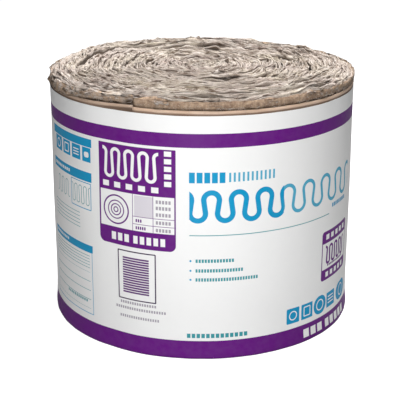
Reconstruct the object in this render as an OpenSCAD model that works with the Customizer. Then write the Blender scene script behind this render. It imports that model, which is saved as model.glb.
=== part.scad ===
// Insulation roll: a blanket of glass wool faced with kraft paper, wound on
// itself and held by a printed film sleeve. It stands on one end.
// Millimetres, +Z up, origin at the centre of the end it stands on.
// The front of the sleeve faces -Y.

/* [Blanket] */
// Width of the wool blanket, which is the height of the standing roll
blanket_w = 381; // [300:1:610]
// Outside diameter of the wound roll over its sleeve
roll_d = 458; // [360:2:640]
// Radial thickness of one compressed turn of the blanket
turn_pitch = 16.9; // [14:0.1:40]
// Width of the open gap between two turns at the ends
turn_gap_w = 2.4; // [1:0.1:4]
// Depth of that gap below the upper end
upper_gap_depth = 8; // [2:0.5:12]
// Depth of that gap at the end that carries the weight
lower_gap_depth = 3; // [1:0.5:6]
// Rounding of the blanket's free upper edge
upper_edge_round = 10; // [4:0.5:14]
// Rounding of the blanket's edge on the floor
lower_edge_round = 3; // [1:0.5:6]
// Thickness of the blanket at its outer end, which the sleeve squeezes flat
tail_t = 9.5; // [4:0.5:14]
// Angle round the roll where the blanket's outer end lies
tail_angle = 246; // [0:1:359]

/* [Kraft facing] */
// Thickness of the paper facing and its glue
facing_t = 0.5; // [0.3:0.1:1]
// Thickness of the stapling flange, where the paper is folded double
flange_t = 1; // [0.6:0.1:2]
// Width of each folded flange
flange_w = 25; // [12:1:40]
// Bare wool above the facing's upper edge
facing_set_back = 18.4; // [16:0.1:40]
// Height of the facing's lower edge above the floor
facing_lift = 2; // [1:0.5:6]

/* [Film sleeve] */
// Thickness of the wrapped plastic film
film_t = 0.5; // [0.3:0.1:1]
// Height of the sleeve's lower edge above the floor
film_lift = 1; // [1:0.5:6]
// Facing left bare above the sleeve
film_set_back = 7.2; // [3:0.1:30]
// Height of the printed band at the foot of the sleeve
foot_band_h = 27.9; // [10:0.1:60]
// Height of the printed band near the top of the sleeve
head_band_h = 19.4; // [10:0.1:60]
// Plain film above the upper band
head_margin_h = 24; // [5:0.1:60]

/* [Hidden] */

wool_colour = [0.76, 0.70, 0.62];
kraft_colour = [0.80, 0.66, 0.52];
film_colour = [0.94, 0.94, 0.94];
band_colour = [0.40, 0.12, 0.50];

roll_r = roll_d / 2;
facing_outer_r = roll_r - film_t;
wool_body_r = facing_outer_r - facing_t;
wool_flange_r = facing_outer_r - flange_t;
facing_top = blanket_w - facing_set_back;
film_top = facing_top - film_set_back;

// The gap between turns starts behind the blanket's outer end and stops at the
// core, where the inner end is doubled on itself.
turn_step = 10;
core_r = 0.75 * turn_pitch;
wound_angle = 360 * (roll_r - tail_t - core_r) / turn_pitch;
gap_angles = [for (a = 0; a < wound_angle; a = a + turn_step) a];

round_steps = 6;
cut_clear = 1;

// Radius of the gap's middle line, after turning by angle a from the outer end
function gap_r(a) = roll_r - tail_t - turn_pitch * a / 360;

function polar(r, a) = [r * cos(a), r * sin(a)];

// One side of the gap, half its width inwards or outwards
function gap_side(shift) = [for (a = gap_angles) polar(gap_r(a) + shift, tail_angle + a)];

function reversed(points) = [for (i = [len(points) - 1 : -1 : 0]) points[i]];

// A quarter round from angle a0, about a centre in the profile
function quarter(centre, r, a0) =
    [for (i = [0 : round_steps]) centre + polar(r, a0 + 90 * i / round_steps)];

// The spiral gap, and the slit across the outer turn where the blanket ends
module spiral_gap(depth) {
    linear_extrude(depth) {
        polygon(concat(gap_side(turn_gap_w / 2), reversed(gap_side(-turn_gap_w / 2))));
        rotate(tail_angle)
            translate([roll_r - tail_t - turn_gap_w / 2, -turn_gap_w / 2])
            square([tail_t + turn_gap_w / 2 + cut_clear, turn_gap_w]);
    }
}

// Half section of the wound blanket: the flanges are let into it, and the
// free wool above them swells to the outside of the roll.
module blanket_section() {
    low = lower_edge_round;
    high = upper_edge_round;
    polygon(concat(
        [[0, 0]],
        quarter([wool_flange_r - low, low], low, -90),
        [
            [wool_flange_r, facing_lift + flange_w],
            [wool_body_r, facing_lift + flange_w],
            [wool_body_r, facing_top - flange_w],
            [wool_flange_r, facing_top - flange_w],
            [wool_flange_r, facing_top],
            [roll_r, facing_top]
        ],
        quarter([roll_r - high, blanket_w - high], high, 0),
        [[0, blanket_w]]
    ));
}

module wool_blanket() {
    color(wool_colour) difference() {
        rotate_extrude($fn = 180) blanket_section();
        translate([0, 0, blanket_w - upper_gap_depth])
            spiral_gap(upper_gap_depth + cut_clear);
        translate([0, 0, -cut_clear])
            spiral_gap(lower_gap_depth + cut_clear);
    }
}

// A plain upright ring between two heights
module ring(outer_r, wall, z0, z1) {
    translate([0, 0, z0]) difference() {
        cylinder(r = outer_r, h = z1 - z0, $fn = 180);
        translate([0, 0, -cut_clear])
            cylinder(r = outer_r - wall, h = z1 - z0 + 2 * cut_clear, $fn = 180);
    }
}

module kraft_facing() {
    color(kraft_colour) {
        ring(facing_outer_r, facing_t, facing_lift, facing_top);
        ring(facing_outer_r, flange_t, facing_lift, facing_lift + flange_w);
        ring(facing_outer_r, flange_t, facing_top - flange_w, facing_top);
    }
}

// One film, drawn as stacked rings so that each printed band has its colour
module film_sleeve() {
    foot_band_top = film_lift + foot_band_h;
    head_band_top = film_top - head_margin_h;
    head_band_foot = head_band_top - head_band_h;
    color(band_colour) ring(roll_r, film_t, film_lift, foot_band_top);
    color(film_colour) ring(roll_r, film_t, foot_band_top, head_band_foot);
    color(band_colour) ring(roll_r, film_t, head_band_foot, head_band_top);
    color(film_colour) ring(roll_r, film_t, head_band_top, film_top);
}

wool_blanket();
kraft_facing();
film_sleeve();
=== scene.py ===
import math

import bpy
import numpy as np
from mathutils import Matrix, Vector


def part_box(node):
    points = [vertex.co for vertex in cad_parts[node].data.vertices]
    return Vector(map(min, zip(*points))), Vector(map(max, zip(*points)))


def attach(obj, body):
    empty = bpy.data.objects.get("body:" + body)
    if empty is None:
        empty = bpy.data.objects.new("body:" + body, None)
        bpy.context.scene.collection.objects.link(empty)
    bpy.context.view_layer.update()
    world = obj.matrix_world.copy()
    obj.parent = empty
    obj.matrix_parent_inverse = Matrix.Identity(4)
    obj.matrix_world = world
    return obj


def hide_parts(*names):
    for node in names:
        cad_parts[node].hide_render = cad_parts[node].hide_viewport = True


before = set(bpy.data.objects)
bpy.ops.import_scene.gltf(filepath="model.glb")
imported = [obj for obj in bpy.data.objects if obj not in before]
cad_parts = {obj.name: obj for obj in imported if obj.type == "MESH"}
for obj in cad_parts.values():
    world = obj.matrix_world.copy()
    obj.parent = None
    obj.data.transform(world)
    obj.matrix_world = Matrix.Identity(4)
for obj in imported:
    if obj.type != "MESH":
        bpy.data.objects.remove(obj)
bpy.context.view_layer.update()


# ---------------------------------------------------------------------------
# The blanket: glass wool in thin layers, wound on itself about thirteen times.
# Its cut edge makes the top of the roll, where the layers have sprung apart.
# Nothing is fixed: the sleeve holds it wound, and it stands on its lower edge.
# ---------------------------------------------------------------------------
TURN = 2 * math.pi
tail_angle = math.radians(246)     # where the blanket's outer end lies
tail_t = 0.0095                    # thickness of that end, squeezed by the sleeve
turn_pitch = 0.0169                # thickness of one turn further in
bridge_angle = math.radians(22)    # over which the outer turn steps down on to the end
spread_angle = math.radians(55)    # over which the squeezed end swells to full thickness
evens_out = 1.2 * TURN             # winding angle over which that step fades from the turns
core_r = 0.005                     # the winding stops at this radius
least_r = 0.0006                   # least radius of the strip's inner side
step_along = 0.0036                # from one section of the strip to the next
widest_step = 0.16                 # the same near the core, as an angle
layers = 5                         # layers of wool that stand apart in each turn

wool_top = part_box("wool_blanket")[1][2]
facing_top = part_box("kraft_facing")[1][2]
film_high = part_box("film_sleeve")[1]
roll_r = film_high[0]
film_t = 0.0004
facing_t = 0.0006
slack = 0.0011                     # between the wool and the facing
wool_r = roll_r - film_t - facing_t - slack


def cell_value(ix, iy, seed):
    """A repeatable value from -1 to 1 for each whole-number cell of a plane."""
    h = (ix * 374761393 + iy * 668265263 + seed * 974634777) & 0xFFFFFFFF
    h = ((h ^ (h >> 13)) * 1274126177) & 0xFFFFFFFF
    return (h ^ (h >> 16)) / 2147483647.5 - 1.0


def drift(x, y, seed, period=None):
    """Smooth noise from -1 to 1 over a plane. A period closes it up along x."""
    x, y = np.broadcast_arrays(np.asarray(x, float), np.asarray(y, float))
    ix, iy = np.floor(x).astype(np.int64), np.floor(y).astype(np.int64)
    fx, fy = x - ix, y - iy
    fx, fy = fx * fx * (3 - 2 * fx), fy * fy * (3 - 2 * fy)
    nx = ix + 1
    if period:
        ix, nx = ix % period, nx % period
    low = cell_value(ix, iy, seed) * (1 - fx) + cell_value(nx, iy, seed) * fx
    high = cell_value(ix, iy + 1, seed) * (1 - fx) + cell_value(nx, iy + 1, seed) * fx
    return low * (1 - fy) + high * fy


def ease(x):
    """A smooth step from 0 at x = 0 to 1 at x = 1."""
    x = np.clip(x, 0, 1)
    return x * x * (3 - 2 * x)


def outer_face(turned):
    """Radius of the blanket's outer face after winding on by this angle from its outer end."""
    turned = np.asarray(turned, float)
    whole = np.floor(turned / TURN)
    a = turned - whole * TURN
    inner = whole > 0
    joggle = (wool_r - tail_t * ease((a - TURN + bridge_angle) / bridge_angle)
              - inner * (tail_t + (turn_pitch - tail_t) * ease(a / spread_angle))
              - np.maximum(whole - 1, 0) * turn_pitch)
    even = wool_r - tail_t - turn_pitch * (turned - TURN) / TURN
    kept = np.where(inner, np.exp(-(turned - TURN) / evens_out), 1.0)
    return kept * joggle + (1 - kept) * even


def swept(name, rings, along, across, close=False):
    """A mesh of strands. rings is (strands, sections, points, 3), each section a closed loop;
    along (strands, sections) and across (points + 1) are its winding coordinates."""
    m, n, p, _ = rings.shape
    steps = n if close else n - 1
    s, i, j = np.meshgrid(np.arange(m), np.arange(steps), np.arange(p), indexing="ij")
    i2, j2 = (i + 1) % n, (j + 1) % p
    corner = [s * n * p + a * p + b for a, b in ((i, j), (i2, j), (i2, j2), (i, j2))]
    quads = np.stack(corner, -1).reshape(-1, 4)
    over = np.concatenate([along, 2 * along[:, -1:] - along[:, -2:-1]], 1)
    places = [np.stack([over[s, i + a], across[j + b]], -1) for a, b in ((0, 0), (1, 0), (1, 1), (0, 1))]
    places = np.stack(places, 3).reshape(-1, 2)
    loops, starts, totals = quads.ravel(), np.arange(len(quads)) * 4, np.full(len(quads), 4)
    if not close:
        first = (np.arange(m) * n * p)[:, None] + np.arange(p)
        last = first[:, ::-1] + (n - 1) * p
        caps = np.concatenate([first, last])
        starts = np.concatenate([starts, len(loops) + np.arange(len(caps)) * p])
        totals = np.concatenate([totals, np.full(len(caps), p)])
        ends = np.stack([np.repeat(np.concatenate([along[:, 0], along[:, -1]]), p),
                         np.tile(across[:p], 2 * m)], -1)
        loops, places = np.concatenate([loops, caps.ravel()]), np.concatenate([places, ends])
    mesh = bpy.data.meshes.new(name)
    mesh.vertices.add(m * n * p)
    mesh.vertices.foreach_set("co", rings.astype(np.float32).ravel())
    mesh.loops.add(len(loops))
    mesh.loops.foreach_set("vertex_index", loops.astype(np.int32))
    mesh.polygons.add(len(starts))
    mesh.polygons.foreach_set("loop_start", starts.astype(np.int32))
    mesh.polygons.foreach_set("loop_total", totals.astype(np.int32))
    mesh.update(calc_edges=True)
    layout = mesh.uv_layers.new(name="wound")
    layout.uv.foreach_set("vector", places.astype(np.float32).ravel())
    mesh.polygons.foreach_set("use_smooth", np.ones(len(starts), bool))
    made = bpy.data.objects.new(name, mesh)
    bpy.context.scene.collection.objects.link(made)
    return made


def mark(made, name, values):
    """Keeps one number for each point of a mesh, for its material to read."""
    values = np.ascontiguousarray(values, np.float32).ravel()
    made.data.attributes.new(name, "FLOAT", "POINT").data.foreach_set("value", values)


turned = [0.0]
while outer_face(turned[-1]) > core_r:
    turned.append(turned[-1] + min(step_along / outer_face(turned[-1]), widest_step))
turned = np.array(turned)
outer = outer_face(turned)
inner = np.maximum(outer_face(turned + TURN), least_r)
arc = np.concatenate([[0], np.cumsum(np.diff(turned) * outer[:-1])])
heading = tail_angle + turned
first_turn = 1 - ease((turned - TURN) / 0.03)     # 1 on the outer turn and 0 on the others

# Stretches of the winding, in degrees from the outer end: where the turns have
# sprung apart, where a turn stands proud of the rest, and where it has sunk.
open_stretches = ((366, 400), (540, 596), (769, 800), (868, 902), (918, 962), (1250, 1312),
                  (1463, 1480), (1546, 1554), (1583, 1650), (1920, 1945), (2410, 2430))
proud_stretches = ((366, 400), (565, 640), (769, 800), (1223, 1290), (1463, 1480), (1560, 1585))
sunk_stretches = ((900, 1000), (1129, 1160), (1583, 1650), (1920, 1945), (2210, 2260))


def stretch(turned, start, end, taper=14.0):
    """1 between two winding angles in degrees, tapering to 0 past them."""
    t = np.degrees(turned)
    return ease((t - start + taper) / taper) * ease((end + taper - t) / taper)


def parting(turned):
    """Half the open width between two turns, at a winding angle of the inner one."""
    loose = np.maximum(drift(turned * 3.1, 0.5, 21), 0) + np.maximum(drift(turned * 7.3, 0.5, 22), 0) * 0.5
    opened = sum(stretch(turned, start, end) for start, end in open_stretches)
    return 0.0002 + 0.0016 * loose + 0.0019 * opened


outer_gap = np.where(turned < TURN, 0, parting(turned))
inner_gap = np.where(inner > 0.001, parting(turned + TURN), 0)
rin, rout = inner + inner_gap, outer - outer_gap
wide = rout - rin


def level_at(r, angle):
    """The height of the cut edge over the whole roll, before its layers are added."""
    x, y = r * np.cos(angle), r * np.sin(angle)
    hollow_x, hollow_y, hollow_r = -0.11, 0.20, 0.07
    hollow = np.exp(-((x - hollow_x) ** 2 + (y - hollow_y) ** 2) / hollow_r ** 2)
    sunk = 0.0032 * ease(y / 0.2) + 0.0018 * hollow
    return (wool_top - 0.0028 - sunk + 0.0018 * drift(x / 0.07 + 9, y / 0.07, 31)
            + 0.0012 * drift(x / 0.03, y / 0.03 + 5, 32))


slip = 0.0028 * drift(turned * 1.7, 0.5, 33) + 0.0016 * drift(turned * 5.1, 0.5, 34)
proud = sum(stretch(turned, start, end, 45) for start, end in proud_stretches)
sunken = sum(stretch(turned, start, end, 30) for start, end in sunk_stretches)
slip += 0.0042 * proud - 0.0030 * sunken + 0.0020 * stretch(turned, 180, 290, 40)
slip -= 0.0030 * stretch(turned, 115, 165, 25)

# Each layer has a crest of its own height that tilts to one side, and cracks that run
# deep or shallow part it from its neighbours. They are deeper on the far side, and shade
# is painted into them the further down they go.
rows = np.arange(layers)
edges = np.arange(layers + 1)[None, :] + 0.36 * drift(arc[:, None] / 0.024, np.arange(layers + 1) * 1.3, 41)
edges[:, 0], edges[:, -1] = 0, layers
edges /= layers
crest = (0.0024 * drift(arc[:, None] / 0.055, rows * 0.8, 42)
         + 0.0024 * drift(arc[:, None] / 0.030, rows * 1.9, 43)
         + 0.0012 * drift(arc[:, None] / 0.011, rows * 2.7, 44))
tilt = 0.0014 * drift(arc[:, None] / 0.022, rows * 2.3, 45)
far_side = ease(outer * np.sin(heading) / 0.16)[:, None]
crack = 0.026 * (drift(arc[:, None] / 0.052, rows[1:] * 2.9, 46) + 0.12 + 0.16 * far_side)
crack = np.clip(crack, 0.0004, 0.0110 + 0.0030 * far_side)
crack_for_full_shade = 0.0038                # a crack that goes this far down gets the full painted shade

top_f, top_z, top_depth = [], [], []
for k in range(layers):
    low, high = edges[:, k], edges[:, k + 1]
    lean = 0.16 * drift(arc / 0.02, k * 3.1, 47)
    for at, bend in ((0.24 + lean, -1), (0.76 + lean, 1)):
        top_f.append(low + (high - low) * np.clip(at, 0.06, 0.94))
        top_z.append(crest[:, k] + bend * tilt[:, k])
        top_depth.append(np.zeros(len(arc)))
    if k < layers - 1:
        top_f.append(high)
        top_z.append(np.minimum(crest[:, k], crest[:, k + 1]) - crack[:, k])
        # painted shade in the crack, by how far down it goes
        top_depth.append(crack[:, k] / crack_for_full_shade)
top_f, top_z, top_depth = (np.stack(v, 1) for v in (top_f, top_z, top_depth))


def pushed(r, angle):
    """How far the cut edge has been pushed out of its true spiral here."""
    x, y = r * np.cos(angle), r * np.sin(angle)
    push = 0.0050 * drift(x / 0.042 + 3, y / 0.042, 35) + 0.0020 * drift(x / 0.016, y / 0.016 + 8, 36)
    return push * (1 - ease((r - 0.185) / 0.030)) * ease(r / 0.03)


top_r = rin[:, None] + wide[:, None] * top_f
top_r += pushed(top_r, heading[:, None])
top_z = top_z + level_at(top_r, heading[:, None]) + slip[:, None]


def rounded(inset, radius):
    """How far a rounded edge has dropped, this far in from its side."""
    x = np.clip(inset, 0, radius)
    return radius - np.sqrt(np.maximum(radius ** 2 - (radius - x) ** 2, 0))


# The rim of the outer turn has rolled outwards in two stretches.
rolled = (stretch(turned, 275, 358, 30) + 0.85 * stretch(turned, 82, 160, 25)) * first_turn
edge_round = 0.0028
rim_round = edge_round + (0.0066 + 0.0036 * drift(arc / 0.026, 0.5, 59)) * first_turn + 0.0045 * rolled
in_turn = wide[:, None] * top_f
top_z -= rounded(wide[:, None] - in_turn, rim_round[:, None]) + rounded(in_turn, edge_round)

# The wall rows go down from the rim. On the outer turn they swell a little over
# the facing below, in folds and with a ragged overhang, and are matted like felt.
wall_drop = np.array([0.0032, 0.0068, 0.0108, 0.0150, 0.030])
swell = np.array([0.0030, 0.0036, 0.0026, 0.0004, -0.0014])
swell_scale = 1 + 0.45 * drift(arc / 0.05, 0.5, 51) + 0.25 * drift(arc / 0.015, 0.5, 52)
swell_scale *= 1 - 0.6 * rolled
wall_r = rout[:, None] + first_turn[:, None] * np.where(swell > 0, swell_scale[:, None], 1) * swell
wall_r[:, :3] += first_turn[:, None] * 0.0010 * drift(arc[:, None] / 0.006, np.arange(3) * 0.8, 53)
wall_r[:, 0] += pushed(rout, heading) * 0.7
wall_z = top_z[:, -1:] - wall_drop
lip_z = np.array([0.0125, 0.0085, 0.0045, 0.0010, -0.0008]) + facing_top
wall_z = wall_z + first_turn[:, None] * (lip_z - wall_z)
ragged = np.maximum(drift(arc / 0.021, 0.5, 56), 0) + 0.6 * np.maximum(drift(arc / 0.008, 0.5, 57), 0)
folds = (drift(arc[:, None] / 0.017, np.arange(4) * 2.3, 60)
         + 0.5 * drift(arc[:, None] / 0.006, np.arange(4) * 1.7, 65))
wall_r[:, :4] += (0.0003 + 0.0017 * rolled)[:, None] * folds
top_r[:, -1] += first_turn * (swell_scale * 0.0016 + 0.0034 * ragged)
top_z[:, -1] += first_turn * 0.0006 * drift(arc / 0.006, 0.5, 58)
top_r[:, -2] += first_turn * 0.0022 * ragged
top_z[:, -2] += first_turn * 0.0016 * ragged
hanging = stretch(turned, 268, 326, 12) * first_turn
wall_r[:, 2:4] += 0.0030 * hanging[:, None]
wall_z[:, 1:4] -= np.array([0.002, 0.004, 0.0042]) * hanging[:, None]

# The inner side of a turn is plain, because the next turn hides it.
inside_r = np.repeat(rin[:, None], 3, 1)
inside_r[:, 0] += pushed(rin, heading) * 0.7
inside_z = np.stack([top_z[:, 0] - 0.004, top_z[:, 0] - 0.014, np.full(len(arc), 0.004)], 1)

# The foot stands flat on the floor, with a shallow groove along its middle.
foot_f = np.array([0.0, 0.10, 0.40, 0.47, 0.54, 0.90, 1.0])
foot_z = np.array([0.0030, 0.0, 0.0, 0.0022, 0.0, 0.0, 0.0030])[None, :] * (
    1 + 0.5 * drift(arc[:, None] / 0.03, np.arange(len(foot_f)) * 1.7, 55))
foot_r = rin[:, None] + wide[:, None] * foot_f
foot_r[:, -2:] += 0.0010 * first_turn[:, None]

profile_r = np.concatenate([foot_r, wall_r[:, ::-1], top_r[:, ::-1], inside_r], 1)
profile_z = np.concatenate([foot_z, wall_z[:, ::-1], top_z[:, ::-1], inside_z], 1)

# Painted shade for each point: dark in cracks and crevices, in the hollows of folds, low on
# the outer wall, under the rim's overhang, beside the outer end, on the foot and on hidden
# sides. And how felted each point is.
wall_depth = np.array([0.0, 0.0, 0.05, 0.8, 1.0])[None, :] * first_turn[:, None]
wall_depth[:, :4] += (0.25 + 0.75 * rolled)[:, None] * np.maximum(-folds - 0.1, 0) * first_turn[:, None]
# painted shadow under the ragged overhang of the rim
shadow_under_rim = 0.6 * first_turn[:, None] * np.array([1.0, 0.3, 0.0]) * ragged[:, None]
wall_depth[:, :3] += 0.10 * rolled[:, None] + shadow_under_rim
wall_depth = wall_depth + np.array([0.5, 0.8, 1.0, 1.0, 1.0])[None, :] * (1 - first_turn[:, None])
# painted shadow beside the outer end, on the turn just before it and on the end itself
shadow_beside_end = stretch(turned, 358, 360, 3) * first_turn + 0.6 * np.exp(-arc / 0.003)
wall_depth += np.array([0.2, 0.5, 0.8, 0.8, 0.8])[None, :] * shadow_beside_end[:, None]
depth = np.concatenate([np.full(foot_r.shape, 0.3), wall_depth[:, ::-1],
                        top_depth[:, ::-1], np.tile([0.85, 1.0, 1.0], (len(arc), 1))], 1)
felt = np.zeros(profile_r.shape)
first_wall = len(foot_f)
first_top = first_wall + len(wall_drop)
felt[:, first_wall:first_top] = (first_turn * (1 - 0.52 * rolled))[:, None]
fading = np.array([0.85, 0.55, 0.3, 0.1])
felt[:, first_top:first_top + len(fading)] = fading * (first_turn * (1 - 0.6 * rolled))[:, None]
felt[:, first_top - 1] *= 1 - 0.35 * ragged

# The outer end is squeezed to a blunt edge.
blunt = 1 - 0.60 * np.exp(-arc / 0.0030)[:, None]
middle = (profile_r.max(1) + profile_r.min(1))[:, None] / 2
profile_r = middle + (profile_r - middle) * blunt

turn = heading[:, None]
points = np.stack([profile_r * np.cos(turn), profile_r * np.sin(turn), profile_z], -1)

# The distances across the strip, for its map, are those of one typical section.
typical = 300
sides = np.diff(np.stack([profile_r[typical], profile_z[typical]]), axis=1)
across = np.concatenate([[0], np.cumsum(np.hypot(*sides))])
across = np.append(across, across[-1] + 0.01)
wool = swept("wool_blanket_wound", points[None], arc[None], across)
mark(wool, "depth", depth)
mark(wool, "felt", felt)

# Loose layers: slivers of felted wool that stand up along the cut edge.
rng = np.random.default_rng(5)
every = np.arange(len(arc))
round_sliver = np.array([0, 0.001, 0.003, 0.004, 0.006])     # distances round a sliver, for its map


def on_blanket(count, reach, sections):
    """Random stretches of the cut edge: the angle, radius, height and winding length of their points."""
    start = rng.uniform(0, 1, count) ** 0.9 * (len(arc) - 20)
    layer = rng.integers(0, layers, count)
    length = rng.uniform(*reach, count) / step_along
    index = start[:, None] + np.linspace(0, 1, sections) * length[:, None]
    index = np.clip(index, 0, len(arc) - 1.001)
    whole = index.astype(int)
    part = index - whole

    column = np.minimum(layer * 3 + rng.integers(0, 2, count), top_f.shape[1] - 2)[:, None]

    def between(values, *at):
        return values[(whole, *at)] * (1 - part) + values[(whole + 1, *at)] * part

    return between(heading), between(top_r, column), between(top_z, column), between(arc)


def ribbon(angle, r, z, height, thick, lean):
    """Closed upright slivers through these points, thin at both ends."""
    x = np.linspace(0, 1, r.shape[1])
    body = np.sin(np.pi * x) ** 0.6 + 0.02
    h, t = height * body, thick * (0.35 + 0.65 * body)
    low = np.stack([r - t, r + t], -1)
    high = np.stack([r + lean * h + t * 0.4, r + lean * h - t * 0.4], -1)
    rr = np.concatenate([low, high], -1)
    zz = np.stack([z - 0.0012, z - 0.0012, z + h, z + h], -1)
    return np.stack([rr * np.cos(angle)[..., None], rr * np.sin(angle)[..., None], zz], -1)


count, sections = 1000, 13
angle, r, z, along = on_blanket(count, (0.020, 0.090), sections)
wander = 0.0016 * drift(along / 0.014, np.arange(count)[:, None] * 1.7, 61)
height = 0.0004 + rng.gamma(1.6, 0.0008, count).clip(0, 0.0036)[:, None]
height = height * (1 + 0.6 * drift(along / 0.0055, np.arange(count)[:, None], 62))
height = height * (1 - 0.5 * ease((r - 0.19) / 0.03))
slivers = ribbon(angle, r + wander, z, height, rng.uniform(0.0004, 0.0011, count)[:, None],
                 rng.normal(0, 0.5, count)[:, None])
loose_layers = swept("wool_loose_layers", slivers, along, round_sliver)
# painted shade along the foot of each sliver
mark(loose_layers, "depth", np.zeros((count, sections, 4)) + np.array([0.6, 0.6, 0, 0]))
mark(loose_layers, "felt", np.zeros((count, sections, 4)))

# Torn edges: short scraps between them, where the knife has dragged the wool.
count, sections = 1600, 7
angle, r, z, along = on_blanket(count, (0.006, 0.024), sections)
wander = 0.0010 * drift(along / 0.006, np.arange(count)[:, None] * 1.7, 63)
height = 0.0003 + rng.gamma(1.5, 0.0006, count).clip(0, 0.0024)[:, None]
height = height * (1 + 0.8 * drift(along / 0.0026, np.arange(count)[:, None], 64))
height = height * (1 - 0.5 * ease((r - 0.19) / 0.03))
scraps = ribbon(angle, r + wander, z, height, rng.uniform(0.0003, 0.0009, count)[:, None],
                rng.normal(0, 0.6, count)[:, None])

# Tufts: scraps of the same kind that hang over the rim of the outer turn.
tufts = 620
index = rng.uniform(4, np.searchsorted(turned, TURN) - 14, tufts)[:, None]
index = index + np.linspace(0, 1, sections) * rng.uniform(0.008, 0.030, tufts)[:, None] / step_along
at = np.minimum(index.round().astype(int), len(arc) - 1)
turn = np.interp(index, every, heading)
body = np.sin(np.pi * np.linspace(0.04, 0.96, sections)) ** 0.7
drop = (0.0010 + rng.gamma(1.6, 0.0011, tufts).clip(0, 0.0038))[:, None] * body
drop *= 1 + 0.45 * drift(arc[at] / 0.0050, np.arange(tufts)[:, None], 66)
edge_r = [np.interp(index, every, v) for v in (top_r[:, -1], *wall_r[:, :3].T)]
edge_z = [np.interp(index, every, v) for v in (top_z[:, -1], *wall_z[:, :3].T)]
rim_r, rim_z = edge_r[0], edge_z[0]
low_r = rim_r
for k in range(3):
    passed = np.clip((edge_z[k] - rim_z + drop) / (edge_z[k] - edge_z[k + 1]), 0, 1)
    low_r = low_r + (edge_r[k + 1] - edge_r[k]) * passed
thick = rng.uniform(0.0003, 0.0009, tufts)[:, None] * (0.3 + 0.7 * body)
rr = np.stack([low_r - thick, low_r + thick, rim_r + 0.5 * thick, rim_r - thick], -1)
zz = np.stack([rim_z - drop, rim_z - drop, rim_z + 0.3 * thick, rim_z - 0.0006], -1)
hanging_tufts = np.stack([rr * np.cos(turn)[..., None], rr * np.sin(turn)[..., None], zz], -1)
scraps = np.concatenate([scraps, hanging_tufts])
along = np.concatenate([along, np.interp(index, every, arc)])
torn_edges = swept("wool_torn_edges", scraps, along, round_sliver)
# painted shade along the foot of each scrap and tuft
mark(torn_edges, "depth", np.zeros((count + tufts, sections, 4)) + np.array([0.45, 0.45, 0, 0]))
matting = np.concatenate([np.zeros(count), rng.uniform(0.3, 0.8, tufts)])
mark(torn_edges, "felt", np.repeat(matting, sections * 4))

# Loose fibres: single wisps lying over the cut edge and round its rim.
count, sections = 2600, 5
angle, r, z, along = on_blanket(count, (0.004, 0.016), sections)
x = np.linspace(0, 1, sections)
spread = rng.normal(0, 0.0016, count)[:, None]
rise = np.abs(rng.normal(0, 0.0016, count))[:, None]
fr = r + spread * x + 0.0006 * np.sin(x * 5 + rng.uniform(0, 6, count)[:, None])
fz = z + rise * np.sin(np.pi * x * rng.uniform(0.5, 1.0, count)[:, None]) - 0.0002

# Some of them hang out of the wall, above the lip.
hung = 1100
hung_at = 0.22                     # radius at which they hang, nearly enough
start = rng.integers(0, np.searchsorted(turned, TURN) - 6, hung)
down = rng.uniform(0.05, 1.0, hung)
level = top_z[start, -1] + down * (wall_z[start, 3] - top_z[start, -1])
out = np.interp(down, [0, 0.3, 0.7, 1], [0.0, 1, 1, 0.4]) * 0.0034 * swell_scale[start] + rout[start]
run = rng.normal(0, 0.0060, hung)[:, None] * x
hung_angle = heading[start][:, None] + run / hung_at
hung_r = out[:, None] + rng.gamma(1.6, 0.0005, hung)[:, None] * np.sin(np.pi * x * 0.8) - 0.0003
hung_z = level[:, None] + rng.normal(-0.0010, 0.0026, hung)[:, None] * x
angle, fr, fz = (np.concatenate(v) for v in ((angle, hung_angle), (fr, hung_r), (fz, hung_z)))
along = np.concatenate([along, arc[start][:, None] + run])
count += hung
centre = np.stack([fr * np.cos(angle), fr * np.sin(angle), fz], -1)
forward = np.gradient(centre, axis=1)
forward /= np.linalg.norm(forward, axis=-1, keepdims=True)
side = np.cross(forward, [0, 0, 1.0])
side /= np.linalg.norm(side, axis=-1, keepdims=True)
lift = np.cross(side, forward)
thick = (rng.uniform(0.00010, 0.00022, count)[:, None] * (1 - 0.7 * x))[..., None]
spokes = [centre + thick * (math.cos(a) * side + math.sin(a) * lift) for a in (0, TURN / 3, 2 * TURN / 3)]
fibres = swept("wool_loose_fibres", np.stack(spokes, 2), along, np.array([0, 0.0005, 0.001, 0.0015]))
mark(fibres, "depth", np.zeros((count, sections, 3)))
mark(fibres, "felt", np.zeros((count, sections, 3)))


def add(tree, kind, *sources, **settings):
    """A shader node. Sources are sockets or values for its inputs in order; None leaves one alone."""
    made = tree.nodes.new("ShaderNode" + kind)
    for name, value in settings.items():
        setattr(made, name, value)
    for socket, source in zip(made.inputs, sources):
        if isinstance(source, bpy.types.NodeSocket):
            tree.links.new(source, socket)
        elif source is not None:
            socket.default_value = source
    return made


def calc(tree, operation, *sources, clamp=False):
    return add(tree, "Math", *sources, operation=operation, use_clamp=clamp).outputs[0]


def vector(tree, operation, *sources):
    made = add(tree, "VectorMath", *sources, operation=operation)
    return made.outputs["Value" if operation in ("LENGTH", "DOT_PRODUCT") else "Vector"]


def blend(tree, factor, a, b, way="MIX"):
    """One colour laid over another."""
    made = tree.nodes.new("ShaderNodeMix")
    made.data_type, made.blend_type = "RGBA", way
    for index, source in ((0, factor), (6, a), (7, b)):
        if isinstance(source, bpy.types.NodeSocket):
            tree.links.new(source, made.inputs[index])
        else:
            made.inputs[index].default_value = source
    return made.outputs[2]


def ramp(tree, source, low, high, to_low=0.0, to_high=1.0):
    return add(tree, "MapRange", source, low, high, to_low, to_high).outputs[0]


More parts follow.
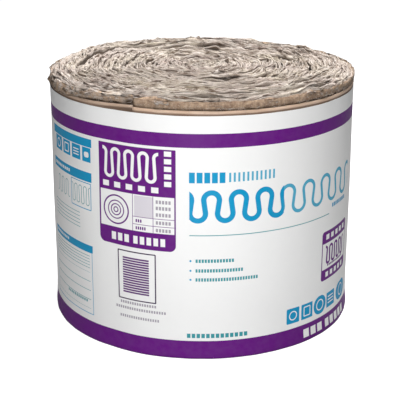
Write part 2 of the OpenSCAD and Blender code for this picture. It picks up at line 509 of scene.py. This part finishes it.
def effect(name, inputs, outputs):
    """An empty node group with these named sockets: its tree, what goes in, and where it comes out."""
    tree = bpy.data.node_groups.new(name, "ShaderNodeTree")
    for label, kind, value in inputs:
        socket = tree.interface.new_socket(label, in_out="INPUT", socket_type="NodeSocket" + kind)
        if value is not None:
            socket.default_value = value
    for label, kind in outputs:
        tree.interface.new_socket(label, in_out="OUTPUT", socket_type="NodeSocket" + kind)
    return tree, tree.nodes.new("NodeGroupInput").outputs, tree.nodes.new("NodeGroupOutput").inputs


def use(tree, group, **values):
    """Places a node group. Values are sockets or numbers for its inputs, named with _ for a space."""
    made = tree.nodes.new("ShaderNodeGroup")
    made.node_tree = group
    for label, value in values.items():
        socket = made.inputs[label.replace("_", " ")]
        if isinstance(value, bpy.types.NodeSocket):
            tree.links.new(value, socket)
        else:
            socket.default_value = value
    return made.outputs


def finish(name, **surface):
    """A new material: its tree and its Principled shader, with constants set on the shader itself."""
    made = bpy.data.materials.new(name)
    made.use_nodes = True
    shader = made.node_tree.nodes["Principled BSDF"]
    for label, value in surface.items():
        shader.inputs[label.replace("_", " ")].default_value = value
    return made, made.node_tree, shader


# Streaks that run along a wound or rolled thing, in winding coordinates.
streaks, given, out = effect("Streaks along the winding", [
    ("Place", "Vector", None), ("Length", "Float", 0.02), ("Width", "Float", 0.001)], [("Amount", "Float")])
parts = add(streaks, "SeparateXYZ", given["Place"]).outputs
scaled = add(streaks, "CombineXYZ", calc(streaks, "DIVIDE", parts[0], given["Length"]),
             calc(streaks, "DIVIDE", parts[1], given["Width"])).outputs[0]
noise = add(streaks, "TexNoise", scaled, None, 1.0, 3.0, 0.6, noise_dimensions="2D")
streaks.links.new(noise.outputs[0], out["Amount"])

wool_look, tree, shader = finish("glass wool", Roughness=0.95, Specular_IOR_Level=0.12)
place = add(tree, "UVMap", uv_map="wound").outputs[0]
painted_shade_amount = add(tree, "Attribute", attribute_name="depth").outputs["Fac"]
matted = add(tree, "Attribute", attribute_name="felt").outputs["Fac"]
spot = add(tree, "TexCoord").outputs["Object"]
fine = use(tree, streaks, Place=place, Length=0.019, Width=0.0010)["Amount"]
long_ones = use(tree, streaks, Place=place, Length=0.05, Width=0.0035)["Amount"]
patches = add(tree, "TexNoise", spot, None, 22.0, 3.0, 0.55).outputs[0]
flecks = add(tree, "TexNoise", spot, None, 420.0, 2.0, 0.6).outputs[0]
tint = blend(tree, ramp(tree, patches, 0.38, 0.64), (0.52, 0.42, 0.37, 1), (0.62, 0.54, 0.43, 1))
tint = blend(tree, ramp(tree, long_ones, 0.35, 0.7), tint, (0.70, 0.62, 0.565, 1))
tint = blend(tree, ramp(tree, fine, 0.56, 0.74), tint, (0.93, 0.87, 0.80, 1))
tint = blend(tree, ramp(tree, fine, 0.48, 0.34), tint, (0.15, 0.10, 0.07, 1))
tint = blend(tree, ramp(tree, flecks, 0.60, 0.72, 0.0, 0.5), tint, (0.90, 0.85, 0.76, 1))
upright = add(tree, "CombineXYZ", add(tree, "SeparateXYZ", place).outputs[0]).outputs[0]
ribs = add(tree, "TexNoise", upright, None, 260.0, 3.0, 0.7, noise_dimensions="2D").outputs[0]
clumps = add(tree, "TexNoise", spot, None, 130.0, 3.0, 0.6).outputs[0]
matted_tint = blend(tree, ramp(tree, clumps, 0.36, 0.66), (0.29, 0.19, 0.13, 1), (0.57, 0.41, 0.285, 1))
matted_tint = blend(tree, ramp(tree, ribs, 0.50, 0.30, 0.0, 0.45), matted_tint, (0.19, 0.125, 0.088, 1))
matted_tint = blend(tree, ramp(tree, flecks, 0.54, 0.70, 0.0, 0.6), matted_tint, (0.62, 0.50, 0.40, 1))
worn = calc(tree, "MULTIPLY_ADD", calc(tree, "SUBTRACT", clumps, 0.5), 1.6, matted)
tint = blend(tree, ramp(tree, worn, 0.30, 0.62), tint, matted_tint)
# painted shade: the point attribute darkens cracks, crevices and overhangs towards near black
tint = blend(tree, calc(tree, "MULTIPLY", painted_shade_amount, 0.92, clamp=True), tint, (0.070, 0.048, 0.034, 1))
tree.links.new(tint, shader.inputs["Base Color"])
relief = calc(tree, "ADD", calc(tree, "MULTIPLY", fine, 1.0), calc(tree, "MULTIPLY", flecks, 0.8))
relief = calc(tree, "ADD", relief, calc(tree, "MULTIPLY", calc(tree, "MULTIPLY", ribs, matted), 0.8))
bump = add(tree, "Bump", 0.8, 0.0012)
tree.links.new(relief, bump.inputs["Height"])
tree.links.new(bump.outputs[0], shader.inputs["Normal"])

for made in (wool, loose_layers, torn_edges, fibres):
    made.data.materials.append(wool_look)
    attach(made, "root")
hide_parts("wool_blanket")


# ---------------------------------------------------------------------------
# The facing: brown kraft paper glued to the outer side of the blanket.
# Along its edge it is folded double into a flange, for stapling to the studs.
# It ends with the blanket, so the lip of the turn below shows past the end.
# ---------------------------------------------------------------------------
lip_w = 0.025
facing_low = 0.008
past_end = 0.30
count = 300
turned_k = np.linspace(0.0, TURN + past_end, count)
arc_k = turned_k * roll_r
face = outer_face(turned_k)
face += 0.0002 * drift(arc_k / 0.03, 0.5, 71) - 0.0006 * ease((turned_k - TURN + 0.5) / 0.5)
edge = facing_top + 0.0004 * drift(arc_k / 0.06, 0.5, 72) + 0.00025 * drift(arc_k / 0.012, 0.5, 73)
lip_out = 0.0005 * drift(arc_k / 0.045, 0.5, 74)
heights = np.array([facing_low, 0.018, 0.030, 0.045, 0.06, 0.10, 0.20, 0.24, 0.30, 0.3380, 0.3460, 0.3520])
bulge = 0.0010 * ease((0.33 - heights) / 0.15) + 0.0010 * ease((0.06 - heights) / 0.05)
out_r = face[:, None] + facing_t + bulge
out_z = np.repeat(heights[None], count, 0)
fold_r = face[:, None] + np.array([0.0004, 0.0013, 0.0017, 0.0016, 0.0011, 0.0, -0.0005])
fold_r[:, 1:] += lip_out[:, None]
fold_z = edge[:, None] + np.array([-0.0050, -0.0042, -0.0028, -0.0012, -0.0003, 0.0, -0.0008])
back_r = face[:, None] + np.array([-0.0006, -0.0006, 0.0, 0.0])
back_z = np.stack([edge - 0.006, edge - lip_w, edge - lip_w - 0.001, np.full(count, facing_low)], 1)
# painted shade: dark on the facing's outer face and back behind the film, and in the recess under the
# folded bead
facing_painted_shade = np.concatenate([np.ones(len(heights)), [1.0, 0.15, 0, 0, 0, 0.3, 1.0], np.ones(4)])
section_r = np.concatenate([out_r, fold_r, back_r], 1)
section_z = np.concatenate([out_z, fold_z, back_z], 1)
turn_k = (tail_angle + turned_k)[:, None]
points = np.stack([section_r * np.cos(turn_k), section_r * np.sin(turn_k), section_z], -1)
typical = 9
lengths = np.cumsum(np.hypot(np.diff(section_r[typical]), np.diff(section_z[typical])))
across = np.concatenate([[0], lengths, [0.75]])
facing = swept("kraft_facing_folded", points[None], arc_k[None], across)
# painted shade on the lip along a stretch at the left front, where less light falls
shaded = 0.45 * stretch(turned_k, 296, 352, 20)[:, None]
mark(facing, "depth", np.clip(facing_painted_shade + shaded, 0, 1))

kraft_look, tree, shader = finish("kraft paper", Roughness=0.7, Specular_IOR_Level=0.25)
spot = add(tree, "TexCoord").outputs["Object"]
place = add(tree, "UVMap", uv_map="wound").outputs[0]
pulp = add(tree, "TexNoise", spot, None, 900.0, 3.0, 0.7).outputs[0]
cloud = add(tree, "TexNoise", spot, None, 30.0, 2.0, 0.5).outputs[0]
grain = use(tree, streaks, Place=place, Length=0.006, Width=0.0007)["Amount"]
tint = blend(tree, ramp(tree, cloud, 0.35, 0.65), (0.62, 0.43, 0.31, 1), (0.74, 0.55, 0.42, 1))
tint = blend(tree, ramp(tree, pulp, 0.45, 0.7, 0.0, 0.5), tint, (0.82, 0.66, 0.52, 1))
tint = blend(tree, ramp(tree, grain, 0.42, 0.25, 0.0, 0.5), tint, (0.40, 0.26, 0.17, 1))
# painted shade from the point attribute, in the recess under the bead and on faces behind the film
painted_shade_amount = add(tree, "Attribute", attribute_name="depth").outputs["Fac"]
tint = blend(tree, calc(tree, "MULTIPLY", painted_shade_amount, 0.75, clamp=True), tint, (0.15, 0.095, 0.065, 1))
tree.links.new(tint, shader.inputs["Base Color"])
bump = add(tree, "Bump", 0.35, 0.0003)
tree.links.new(calc(tree, "ADD", pulp, grain), bump.inputs["Height"])
tree.links.new(bump.outputs[0], shader.inputs["Normal"])
facing.data.materials.append(kraft_look)
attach(facing, "root")
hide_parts("kraft_facing")


# ---------------------------------------------------------------------------
# The sleeve: thin white polythene film, printed, wrapped tight and lapped on
# itself at the back. Two bands and some plain signs are printed on it. The wool
# makes it swell towards the foot, where its edge tucks in under the roll.
# ---------------------------------------------------------------------------
sleeve_top = film_high[2]
foot_band_top = 0.0289
head_band = (0.3120, 0.3314)
lap_w = 0.022
around = 480
front = 1.5 * math.pi
turn_f = np.arange(around) * TURN / around
wrap = ((turn_f - front + math.pi) % TURN - math.pi) * roll_r
order = np.argsort(wrap)
turn_f, wrap = turn_f[order], wrap[order]
phase = np.arange(around) / around

z_out = np.concatenate([[0.0012, 0.0016, 0.0028, 0.0050, 0.0075, 0.010, 0.014, 0.018, foot_band_top],
                        np.linspace(0.040, 0.300, 27), [head_band[0], 0.3217, head_band[1]],
                        [0.3375, 0.3440, 0.3495, 0.3530, sleeve_top - 0.0003, sleeve_top]])
tuck = np.interp(z_out, [0.0, 0.0016, 0.0028, 0.005, 0.010], [0.0016, 0.0007, 0.0003, 0.0001, 0.0])
z_in = np.array([sleeve_top, 0.34, 0.30, 0.24, 0.18, 0.12, 0.06, 0.05, 0.04, foot_band_top,
                 0.018, 0.014, 0.010, 0.0075, 0.0050, 0.0028, 0.0012])
tuck_in = np.interp(z_in, [0.0, 0.004, 0.010], [0.0026, 0.0006, 0.0])
belly, belly_in = (0.0014 * ease((0.33 - h) / 0.15) + 0.0011 * ease((0.06 - h) / 0.05)
                   + 0.0015 * ease((0.020 - h) / 0.017) for h in (z_out, z_in))
soft = (0.00045 * drift(phase[:, None] * 14, z_out[None] / 0.14, 81, 14)
        + 0.00018 * drift(phase[:, None] * 46, z_out[None] / 0.09, 82, 46))
near_edge = np.exp(-(sleeve_top - z_out) / 0.030) + np.exp(-z_out / 0.035)
ripple = 0.00028 * near_edge[None] * drift(phase[:, None] * 92, z_out[None] / 0.05, 83, 92)
# The film sinks in a little beside the blanket's outer end.
before_tail = np.degrees((tail_angle - turn_f + math.pi) % TURN - math.pi)
flat = -0.0012 * np.exp(-((before_tail - 9) / 6.5) ** 2)[:, None]
lap = 0.00035 * (ease((np.abs(wrap) - (math.pi * roll_r - lap_w)) / 0.0015))[:, None]
taut_r = roll_r - 0.0002
out_r = taut_r + soft + ripple + flat + lap + belly - tuck[None]
in_r = taut_r - film_t + flat + belly_in - tuck_in[None] + np.stack(
    [np.interp(z_in, z_out, level) for level in soft + ripple])
section_r = np.concatenate([out_r, in_r], 1)
section_z = np.repeat(np.concatenate([z_out, z_in])[None], around, 0)
section_z[:, len(z_out) - 2:len(z_out) + 1] += (0.0004 * drift(phase * 40, 0.5, 84, 40))[:, None]
turn_s = turn_f[:, None]
points = np.stack([section_r * np.cos(turn_s), section_r * np.sin(turn_s), section_z], -1)

# The film's map is in millimetres: sideways from the front, and up from the floor.
# The inner side lies a metre higher on it, clear of all that is printed.
MM = 1000
across = np.concatenate([z_out, z_in + 1.0, [0.0]]) * MM
sleeve = swept("film_sleeve_wrapped", points[None], wrap[None] * MM, across, close=True)

film_surface, given, out = effect("Film surface", [
    ("Place", "Vector", None), ("Ink", "Color", (0.86, 0.86, 0.855, 1)), ("Wear", "Float", 0.02)],
    [("Colour", "Color"), ("Height", "Float"), ("Roughness", "Float")])
parts = add(film_surface, "SeparateXYZ", given["Place"]).outputs
tall = add(film_surface, "CombineXYZ", calc(film_surface, "MULTIPLY", parts[0], 0.05),
           calc(film_surface, "MULTIPLY", parts[1], 0.008)).outputs[0]
folds = add(film_surface, "TexNoise", tall, None, 1.0, 3.0, 0.55, noise_dimensions="2D").outputs[0]
mottle = add(film_surface, "TexNoise", given["Place"], None, 0.09, 3.0, 0.6, noise_dimensions="2D")
mottle = mottle.outputs[0]
shade = ramp(film_surface, mottle, 0.3, 0.7, 0.0, given["Wear"])
dull = blend(film_surface, shade, given["Ink"], (0.55, 0.56, 0.58, 1))
film_surface.links.new(dull, out["Colour"])
film_surface.links.new(folds, out["Height"])
film_surface.links.new(ramp(film_surface, mottle, 0.3, 0.7, 0.40, 0.55), out["Roughness"])

SOFT_EDGE = 0.3                    # millimetres over which ink fades at an edge
block_distance, given, out = effect("Distance to a block", [
    ("Place", "Vector", None), ("Centre", "Vector", None), ("Half size", "Vector", None),
    ("Corner", "Float", 0.4)], [("Distance", "Float")])
off = vector(block_distance, "SUBTRACT", given["Place"], given["Centre"])
off = vector(block_distance, "SUBTRACT", vector(block_distance, "ABSOLUTE", off), given["Half size"])
parts = add(block_distance, "SeparateXYZ", off).outputs
dx = calc(block_distance, "ADD", parts[0], given["Corner"])
dz = calc(block_distance, "ADD", parts[1], given["Corner"])
outside = add(block_distance, "CombineXYZ", calc(block_distance, "MAXIMUM", dx, 0.0),
              calc(block_distance, "MAXIMUM", dz, 0.0)).outputs[0]
inside = calc(block_distance, "MINIMUM", calc(block_distance, "MAXIMUM", dx, dz), 0.0)
reach = calc(block_distance, "SUBTRACT", vector(block_distance, "LENGTH", outside), given["Corner"])
block_distance.links.new(calc(block_distance, "ADD", inside, reach), out["Distance"])


def inked(tree, distance):
    """1 inside a printed shape and 0 outside, with the slight softness of ink on film."""
    return calc(tree, "MULTIPLY_ADD", distance, -1 / SOFT_EDGE, 0.5, clamp=True)


block, given, out = effect("Printed block", [
    ("Place", "Vector", None), ("Centre", "Vector", None), ("Half size", "Vector", None),
    ("Corner", "Float", 0.4)], [("Mask", "Float")])
far = use(block, block_distance, Place=given["Place"], Centre=given["Centre"],
          Half_size=given["Half size"], Corner=given["Corner"])["Distance"]
block.links.new(inked(block, far), out["Mask"])

outline, given, out = effect("Printed outline", [
    ("Place", "Vector", None), ("Centre", "Vector", None), ("Half size", "Vector", None),
    ("Corner", "Float", 0.4), ("Line", "Float", 0.5)], [("Mask", "Float")])
far = use(outline, block_distance, Place=given["Place"], Centre=given["Centre"],
          Half_size=given["Half size"], Corner=given["Corner"])["Distance"]
far = calc(outline, "SUBTRACT", calc(outline, "ABSOLUTE", far), given["Line"])
outline.links.new(inked(outline, far), out["Mask"])

stripes, given, out = effect("Printed stripes", [
    ("Place", "Vector", None), ("Centre", "Vector", None), ("Half size", "Vector", None),
    ("Pitch", "Float", 6.0), ("Line", "Float", 1.0)], [("Mask", "Float")])
far = use(stripes, block_distance, Place=given["Place"], Centre=given["Centre"],
          Half_size=given["Half size"], Corner=0.3)["Distance"]
level = add(stripes, "SeparateXYZ", vector(stripes, "SUBTRACT", given["Place"], given["Centre"])).outputs[1]
level = calc(stripes, "DIVIDE", level, given["Pitch"])
level = calc(stripes, "ABSOLUTE", calc(stripes, "SUBTRACT", level, calc(stripes, "ROUND", level)))
level = calc(stripes, "SUBTRACT", calc(stripes, "MULTIPLY", level, given["Pitch"]), given["Line"])
stripes.links.new(inked(stripes, calc(stripes, "MAXIMUM", far, level)), out["Mask"])

row, given, out = effect("Printed row", [
    ("Place", "Vector", None), ("Centre", "Vector", None), ("Half size", "Vector", None),
    ("Pitch", "Float", 6.0), ("Gap", "Float", 1.0)], [("Mask", "Float")])
far = use(row, block_distance, Place=given["Place"], Centre=given["Centre"],
          Half_size=given["Half size"], Corner=0.3)["Distance"]
step = add(row, "SeparateXYZ", vector(row, "SUBTRACT", given["Place"], given["Centre"])).outputs[0]
step = calc(row, "DIVIDE", step, given["Pitch"])
step = calc(row, "ABSOLUTE", calc(row, "SUBTRACT", step, calc(row, "ROUND", step)))
step = calc(row, "SUBTRACT", calc(row, "MULTIPLY", step, given["Pitch"]),
            calc(row, "MULTIPLY", calc(row, "SUBTRACT", given["Pitch"], given["Gap"]), 0.5))
row.links.new(inked(row, calc(row, "MAXIMUM", far, step)), out["Mask"])

# The drawing-office sign for a blanket in a wall: one line looping up and down.
sign, given, out = effect("Blanket sign", [
    ("Place", "Vector", None), ("Centre", "Vector", None), ("Half length", "Float", 100.0),
    ("Pitch", "Float", 30.0), ("Loop", "Float", 9.0), ("Rise", "Float", 12.0), ("Tuck", "Float", 0.1),
    ("Line", "Float", 1.5)], [("Mask", "Float")])
parts = add(sign, "SeparateXYZ", vector(sign, "SUBTRACT", given["Place"], given["Centre"])).outputs
x, z = parts[0], parts[1]
cos_t, sin_t = calc(sign, "COSINE", given["Tuck"]), calc(sign, "SINE", given["Tuck"])


def to_loop(shift, height):
    """Sideways and upward distances to the nearest loop's centre, as (side, height)."""
    moved = calc(sign, "ADD", calc(sign, "DIVIDE", x, given["Pitch"]), shift)
    moved = calc(sign, "SUBTRACT", moved, calc(sign, "ROUND", moved))
    side = calc(sign, "ABSOLUTE", calc(sign, "MULTIPLY", moved, given["Pitch"]))
    return side, calc(sign, "SUBTRACT", height, given["Rise"])


def loop_distance(side, height):
    flat = add(sign, "CombineXYZ", side, height).outputs[0]
    round_it = calc(sign, "ABSOLUTE", calc(sign, "SUBTRACT", vector(sign, "LENGTH", flat), given["Loop"]))
    on_loop = calc(sign, "ADD", calc(sign, "MULTIPLY", height, cos_t), calc(sign, "MULTIPLY", side, sin_t))
    return round_it, calc(sign, "GREATER_THAN", on_loop, 0.0)


upper_side, upper_height = to_loop(0.0, z)
upper, on_upper = loop_distance(upper_side, upper_height)
lower, on_lower = loop_distance(*to_loop(0.5, calc(sign, "MULTIPLY", z, -1.0)))
slope = calc(sign, "SUBTRACT", upper_side, calc(sign, "MULTIPLY", given["Pitch"], 0.25))
slope = calc(sign, "SUBTRACT", calc(sign, "MULTIPLY", slope, cos_t), calc(sign, "MULTIPLY", z, sin_t))
far = add(sign, "Mix", on_upper, None, calc(sign, "ABSOLUTE", slope), upper).outputs[0]
far = add(sign, "Mix", on_lower, None, far, lower).outputs[0]
past_end = calc(sign, "SUBTRACT", calc(sign, "ABSOLUTE", x), given["Half length"])
far = calc(sign, "MAXIMUM", calc(sign, "SUBTRACT", far, given["Line"]), past_end)
sign.links.new(inked(sign, far), out["Mask"])


def tuck_of(pitch, loop, rise):
    """The angle by which a loop runs past its half turn, so that its ends meet the slanting lines."""
    return math.asin(loop / math.hypot(pitch / 4, rise)) - math.atan2(pitch / 4, rise)


PURPLE = (0.124, 0.008, 0.196, 1)
WHITE = (0.86, 0.86, 0.855, 1)
BLUE = (0.003, 0.290, 0.540, 1)
SKY = (0.075, 0.380, 0.560, 1)
TEAL = (0.040, 0.290, 0.330, 1)
GREY = (0.36, 0.33, 0.38, 1)
DARK = (0.040, 0.012, 0.060, 1)
PLUM = (0.110, 0.028, 0.160, 1)
LILAC = (0.66, 0.63, 0.68, 1)


def centre_and_half(left, right, low, high):
    return {"Centre": ((left + right) / 2, (low + high) / 2, 0),
            "Half_size": ((right - left) / 2, (high - low) / 2, 0)}


def printed(name, shapes):
    """A film material with shapes printed on it in order: (group, ink, values by input name)."""
    look, tree, shader = finish(name, Specular_IOR_Level=0.12)
    place = add(tree, "UVMap", uv_map="wound").outputs[0]
    ink = WHITE
    for group, colour, values in shapes:
        ink = blend(tree, use(tree, group, Place=place, **values)["Mask"], ink, colour)
    surface = use(tree, film_surface, Place=place, Ink=ink)
    tree.links.new(surface["Colour"], shader.inputs["Base Color"])
    tree.links.new(surface["Roughness"], shader.inputs["Roughness"])
    bump = add(tree, "Bump", 0.25, 0.0006)
    tree.links.new(surface["Height"], bump.inputs["Height"])
    tree.links.new(bump.outputs[0], shader.inputs["Normal"])
    return look


def solid(left, right, low, high, colour=BLUE, corner=0.4):
    return block, colour, {**centre_and_half(left, right, low, high), "Corner": corner}


def lines(left, right, low, high, pitch, line, colour=TEAL):
    return stripes, colour, {**centre_and_half(left, right, low, high), "Pitch": pitch, "Line": line}


def blocks(left, right, low, high, many, gap, colour=BLUE):
    """A row of equal blocks, an odd number of them, where a maker would set a word."""
    pitch = (right - left + gap) / many
    return row, colour, {**centre_and_half(left, right, low, high), "Pitch": pitch, "Gap": gap}


def framed(left, right, low, high, line=0.6, colour=BLUE, corner=0.6):
    return outline, colour, {**centre_and_half(left, right, low, high), "Corner": corner, "Line": line}


def ring(x, z, radius, line, colour=BLUE):
    return outline, colour, {"Centre": (x, z, 0), "Half_size": (radius, radius, 0),
                             "Corner": radius, "Line": line}


def looped(x, z, half_length, pitch, loop, rise, line, colour=BLUE):
    return sign, colour, {"Centre": (x, z, 0), "Half_length": half_length, "Pitch": pitch,
                          "Loop": loop, "Rise": rise, "Tuck": tuck_of(pitch, loop, rise), "Line": line}


# What is printed, in the film's own millimetres. Every word is a row of plain blocks.
notes = [solid(-283, -168, 294.5, 306.5),
         *(solid(left, right, 272.5, 293.5) for left, right in
           ((-272, -246.5), (-241.5, -219), (-214, -192.5), (-188, -170))),
         ring(-259, 283, 6, 0.9, WHITE), framed(-236, -224.5, 277, 289, 0.9, WHITE),
         lines(-210, -196.5, 276, 290, 4, 0.8, WHITE), solid(-184, -174, 279, 287, WHITE, 3.0),
         solid(-283, -169, 243.5, 257.5), blocks(-277, -222, 248, 252.5, 9, 2.0, WHITE),
         framed(-218, -171, 202, 241), looped(-194.5, 221.5, 22, 11, 3.4, 10, 0.5, TEAL),
         looped(-246, 222, 22, 14, 3.6, 9, 0.5, TEAL), lines(-282, -197, 168, 196, 5.5, 0.4),
         solid(-288, -170, 137, 148), blocks(-282, -232, 140.5, 144.5, 9, 2.0, WHITE),
         framed(-288, -172, 40, 137, 0.5), lines(-283, -177, 112, 132, 4.6, 0.4),
         lines(-283, -177, 48, 106, 14.5, 0.4), blocks(-240, -185, 57, 61, 11, 2.0, TEAL)]
label = [solid(-154, -35, 178, 308, PURPLE, 1), solid(-154, -35, 162.5, 230, PURPLE, 9),
         solid(-151.5, -37, 188, 241, WHITE, 0.5),
         looped(-103, 281, 44, 22, 6.3, 13.5, 2.3, WHITE), blocks(-147, -59, 246, 254, 5, 9, WHITE),
         lines(-51, -41, 255, 307, 10.6, 3.6, WHITE), solid(-95, -67, 209.5, 239.5, LILAC),
         solid(-98, -97.2, 188, 241, PURPLE), solid(-67.4, -66.6, 188, 241, PURPLE),
         solid(-98, -37, 208.6, 209.4, PURPLE), solid(-98, -37, 197.6, 198.4, PURPLE),
         ring(-125, 214, 20.5, 1.1, PURPLE), *(ring(-125, 214, size, 0.8, PURPLE) for size in (13, 8, 3.5)),
         blocks(-93, -84, 201, 205.5, 3, 1.2, PURPLE), blocks(-93, -78, 190.5, 195, 5, 1.2, PURPLE),
         *(blocks(-63, -42, low, low + 5, 5, 1.4, GREY) for low in (231, 222, 212.5, 201, 190)),
         blocks(-133, -104, 169, 180.5, 3, 3.4, WHITE), blocks(-97, -50, 169, 180.5, 5, 3.4, WHITE),
         framed(-122.5, -64.5, 82.5, 155.5, 0.9, DARK), lines(-115, -74, 91.5, 147.5, 3.7, 1.25, PLUM),
         blocks(-120, -64, 75, 79, 15, 1.3, GREY), blocks(-128, -50, 66.5, 70.5, 21, 1.3, GREY),
         blocks(-121, -60, 53.5, 57.5, 17, 1.3, GREY)]
display = [looped(51, 229.5, 67.6, 37.5, 10.6, 9.5, 3.7),
           looped(201, 229.5, 82.5, 37.5, 10.6, 9.5, 2.5, SKY),
           blocks(-17, 32, 263, 278, 5, 2.4), blocks(37, 103, 264, 277, 11, 3.4, SKY),
           solid(-16.5, 213, 187.4, 188.6, TEAL), blocks(221, 268, 196, 202, 9, 1.6)]
points_of_use = [blocks(-20, 66, 33.5, 40, 13, 1.8, TEAL)]
for low, right, many in ((148, 45, 13), (133.5, 58, 17), (120, 80, 23)):
    points_of_use += [solid(-16.5, -13.5, low + 1, low + 4, BLUE, 1.5),
                      blocks(-8, right, low, low + 5, many, 1.2, TEAL)]
panel = [solid(198, 281, 84.5, 162, PURPLE, 5), solid(200, 279, 102, 143, WHITE, 0.5),
         looped(239, 124, 31, 15.5, 4.3, 9, 1.9, PURPLE), blocks(214, 264, 105.5, 108.5, 11, 1.4, PURPLE),
         blocks(208, 272, 148.5, 156.5, 5, 5.5, WHITE), blocks(210, 270, 89, 97, 5, 5.5, WHITE),
         solid(129, 152.5, 37, 61, BLUE, 2), solid(156.5, 180, 37, 61, BLUE, 1),
         solid(183, 213.5, 34.5, 63.5, BLUE, 14), solid(216, 241, 37, 61, BLUE, 1),
         solid(247.5, 289, 34.5, 63.5, BLUE, 14),
         ring(140.7, 49, 6.5, 0.8, WHITE), framed(162, 174.5, 42, 56, 0.8, WHITE, 1),
         ring(198, 49, 8, 0.9, WHITE), lines(220, 237, 41, 57, 5, 0.9, WHITE), ring(268, 49, 9, 0.9, WHITE)]

band = [solid(-2 * MM, 2 * MM, -2 * MM, 2 * MM, PURPLE),
        blocks(161, 203, 8, 21, 3, 4.0, WHITE), blocks(212, 281, 8, 21, 5, 4.2, WHITE)]

# Each area of the film has a material of its own: (name, its bounds, what is printed on it).
areas = [("plain", None, []), ("band", None, band),
         ("notes", (-300, -157.5, 32, 311), notes), ("label", (-157.5, -27, 32, 311), label),
         ("display", (-27, 300, 172, 311), display), ("uses", (-27, 117, 32, 172), points_of_use),
         ("panel", (117, 300, 32, 172), panel)]
BAND = 1                           # the band's place in that list
for name, _, shapes in areas:
    sleeve.data.materials.append(printed("film, " + name, shapes))
centres = np.empty(len(sleeve.data.loops) * 2, np.float32)
sleeve.data.uv_layers["wound"].uv.foreach_get("vector", centres)
centres = centres.reshape(-1, 4, 2).mean(1)
u, z = centres[:, 0], centres[:, 1]
chosen = np.zeros(len(u), int)
chosen[(z < foot_band_top * MM) | ((z > head_band[0] * MM) & (z < head_band[1] * MM))] = BAND
for index, (_, area, _) in enumerate(areas):
    if area:
        chosen[(u > area[0]) & (u < area[1]) & (z > area[2]) & (z < area[3]) & (chosen == 0)] = index
sleeve.data.polygons.foreach_set("material_index", chosen.astype(np.int32))
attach(sleeve, "root")
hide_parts("film_sleeve")


# ---------------------------------------------------------------------------
# The studio: a pale floor without an edge in view. A tall soft light stands close
# in front, so that the roll darkens towards its sides. A small one hangs above,
# and a third lights the back.
# ---------------------------------------------------------------------------
bpy.ops.mesh.primitive_plane_add(size=40)
floor = bpy.context.active_object
floor.name = "floor"
floor_look, tree, shader = finish("pale floor", Roughness=0.9, Specular_IOR_Level=0.1)
haze = add(tree, "TexNoise", add(tree, "TexCoord").outputs["Object"], None, 3.0).outputs[0]
seen = add(tree, "LightPath").outputs["Is Camera Ray"]
pale = blend(tree, haze, (0.42, 0.42, 0.42, 1), (0.45, 0.45, 0.45, 1))
tree.links.new(pale, shader.inputs["Base Color"])
shader.inputs["Emission Color"].default_value = (1, 1, 1, 1)
tree.links.new(calc(tree, "MULTIPLY", seen, 0.92), shader.inputs["Emission Strength"])
floor.data.materials.append(floor_look)

world = bpy.data.worlds.new("studio")
bpy.context.scene.world = world
world.use_nodes = True
tree = world.node_tree
tree.nodes["Background"].inputs[0].default_value = (1, 1, 1, 1)
seen = add(tree, "LightPath").outputs["Is Camera Ray"]
tree.links.new(ramp(tree, seen, 0.0, 1.0, 0.22, 1.0), tree.nodes["Background"].inputs[1])


def softbox(name, place, target, size, power):
    lamp = bpy.data.lights.new(name, "AREA")
    lamp.shape, lamp.size, lamp.size_y, lamp.energy = "RECTANGLE", size[0], size[1], power
    made = bpy.data.objects.new(name, lamp)
    bpy.context.scene.collection.objects.link(made)
    made.location = place
    aim = Vector(target) - Vector(place)
    made.rotation_euler = aim.to_track_quat("-Z", "Y").to_euler()
    return made


strip = softbox("front_strip", (-0.075, -0.88, 0.21), (0, 0, 0.21), (0.20, 0.9), 4.4)
strip.visible_camera = False
softbox("above", (0.15, -0.75, 2.1), (0, 0, 0.38), (0.4, 0.4), 25)
softbox("behind", (0.40, 1.15, 1.50), (0, 0, 0.35), (0.4, 0.3), 38)

lens = bpy.data.cameras.new("camera")
lens.sensor_width, lens.lens = 36, 95.121
lens.clip_start, lens.clip_end = 0.05, 60
camera = bpy.data.objects.new("camera", lens)
bpy.context.scene.collection.objects.link(camera)
camera.location = (0, -6.8967 * roll_r, 3.0667 * roll_r)
looks_down = 0.3303
camera.rotation_euler = (math.pi / 2 - looks_down, -0.0024, 0.0024)
bpy.context.scene.camera = camera
bpy.context.scene.view_settings.view_transform = "Standard"
